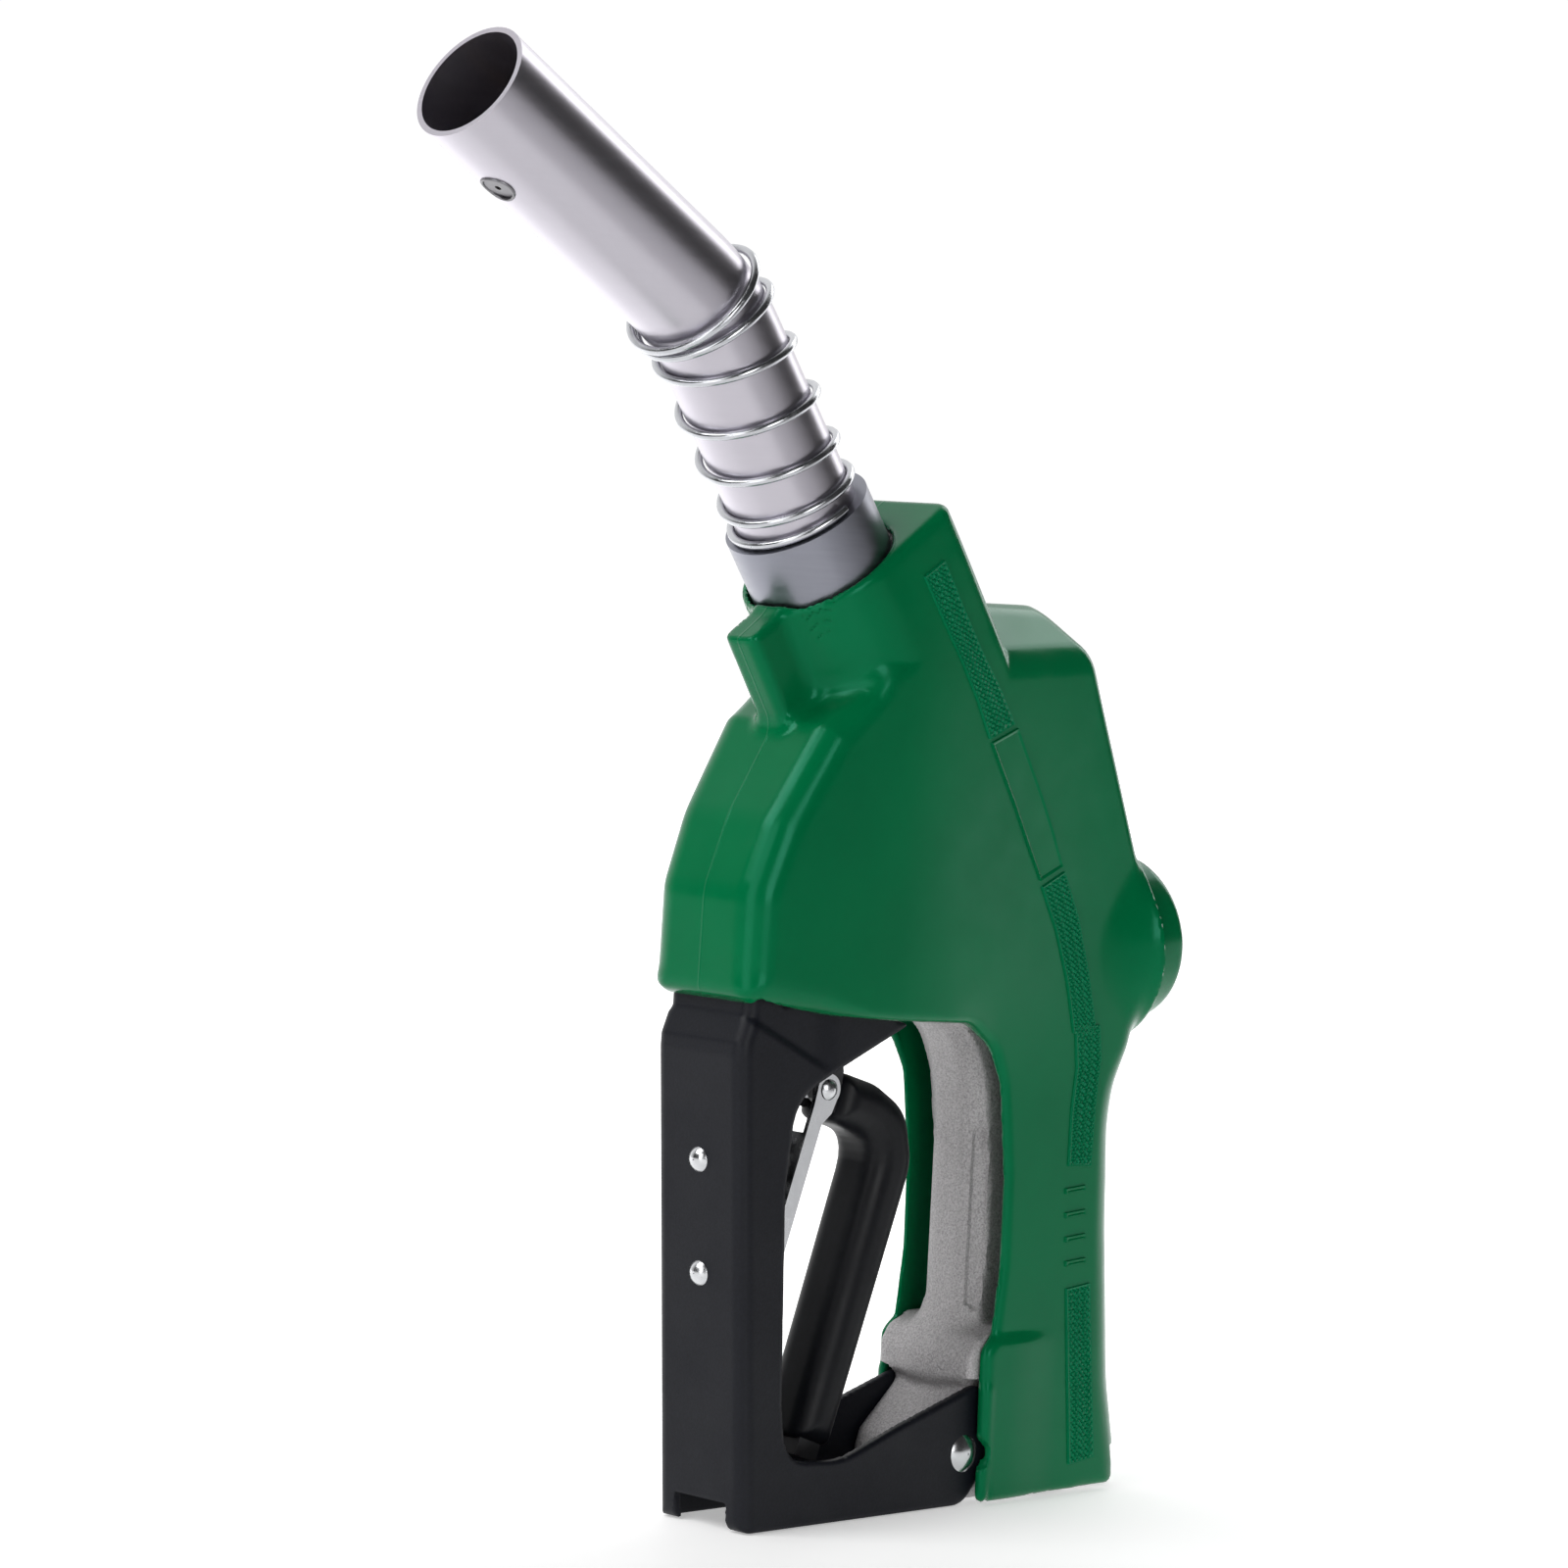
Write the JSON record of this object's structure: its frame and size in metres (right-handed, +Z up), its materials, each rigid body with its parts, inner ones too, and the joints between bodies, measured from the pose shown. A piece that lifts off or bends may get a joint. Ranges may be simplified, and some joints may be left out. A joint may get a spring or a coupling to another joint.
{
  "type": "fuel nozzle",
  "caption": "Automatic shut-off fuel nozzle with bent spout, green moulded cover, black hand guard, squeeze lever and hold-open clip.",
  "frame": {"origin": "Centre of the hose inlet's mouth, on the plane the nozzle stands on", "axes": "+Z up; -X toward the spout and the hand guard; Y across, the nozzle is symmetric about Y = 0"},
  "size_m": [0.2915, 0.059, 0.4082],
  "materials": {
    "cover_green": "glossy moulded vinyl",
    "cast_aluminium": "sand cast, tumbled",
    "spout_metal": "satin drawn tube",
    "collar_metal": "machined",
    "spring_wire": "drawn wire",
    "guard_black": "fine texture",
    "sleeve_black": "satin smooth",
    "zinc_plate": "bright zinc plated",
    "dark_steel": "black coated steel",
    "steel": "machined",
    "brass": "machined",
    "seal_rubber": "moulded",
    "polymer_white": "moulded"
  },
  "bodies": {
    "body": {"hand_cover": "cover_green", "body_casting": "cast_aluminium", "spout_tube": "spout_metal", "spout_collar": "collar_metal", "collar_oring": "seal_rubber", "spout_spring": "spring_wire", "spout_screw": "steel", "vacuum_tube": "brass", "vacuum_port_plug": "spout_metal", "check_seat": "brass", "check_guide": "polymer_white", "check_spring": "spring_wire", "diaphragm_cap": "cast_aluminium", "cap_screws": "steel", "diaphragm_spring": "spring_wire", "latch_ring": "steel", "plunger_spring": "spring_wire", "poppet_cap": "cast_aluminium", "cap_oring": "seal_rubber", "main_spring": "spring_wire", "valve_seat": "brass", "stem_packing": "seal_rubber", "packing_nut": "brass", "inlet_strainer": "steel", "guard": "guard_black", "guard_rivets": "zinc_plate", "hold_open_rack": "zinc_plate", "guard_pin": "zinc_plate", "guard_pin_clip": "zinc_plate", "guard_top_pin": "steel"},
    "trip": {"trip_plunger": "steel", "latch_balls": "steel"},
    "diaphragm_group": {"diaphragm": "seal_rubber", "latch_pin": "steel"},
    "lever": {"lever_core": "dark_steel", "lever_sleeve": "sleeve_black", "lever_pivot_pin": "steel", "latch_pivot_pin": "zinc_plate", "latch_spring": "spring_wire"},
    "clip": {"hold_open_latch": "zinc_plate"},
    "main_valve": {"main_poppet": "polymer_white", "poppet_seal": "seal_rubber", "valve_stem": "steel"},
    "check_valve": {"check_poppet": "brass"}
  },
  "joints": [
    {"name": "trip_slide", "type": "slide", "parent": "body", "child": "trip", "axis": [-0.7023, 0, -0.7118], "range_m": [0, 0.004], "stiffness_N_per_m": 3000, "springref_m": -0.004},
    {"name": "diaphragm_slide", "type": "slide", "parent": "body", "child": "diaphragm_group", "axis": [0.7023, 0, 0.7118], "range_m": [0, 0.0025], "stiffness_N_per_m": 600, "springref_m": -0.002},
    {"name": "lever_hinge", "type": "hinge", "parent": "trip", "child": "lever", "pos_m": [-0.096, 0, 0.163], "axis": [0, -1, 0], "range_deg": [0, 15], "stiffness_Nm_per_rad": 0.5, "springref_deg": -14.9},
    {"name": "clip_hinge", "type": "hinge", "parent": "lever", "child": "clip", "pos_m": [-0.0919, 0, 0.1224], "axis": [0, 1, 0], "range_deg": [0, 33.5]},
    {"name": "main_valve_slide", "type": "slide", "parent": "body", "child": "main_valve", "axis": [0.9925, 0, 0.1219], "range_m": [0, 0.004]},
    {"name": "check_valve_slide", "type": "slide", "parent": "body", "child": "check_valve", "axis": [-0.5865, 0, 0.8099], "range_m": [0, 0.005], "stiffness_N_per_m": 300, "springref_m": -0.003}
  ],
  "couplings": [
    {"joint": "clip_hinge", "follows": "lever_hinge", "ratio": 2.2},
    {"joint": "main_valve_slide", "follows": "lever_hinge", "m_per_rad": 0.01493}
  ]
}
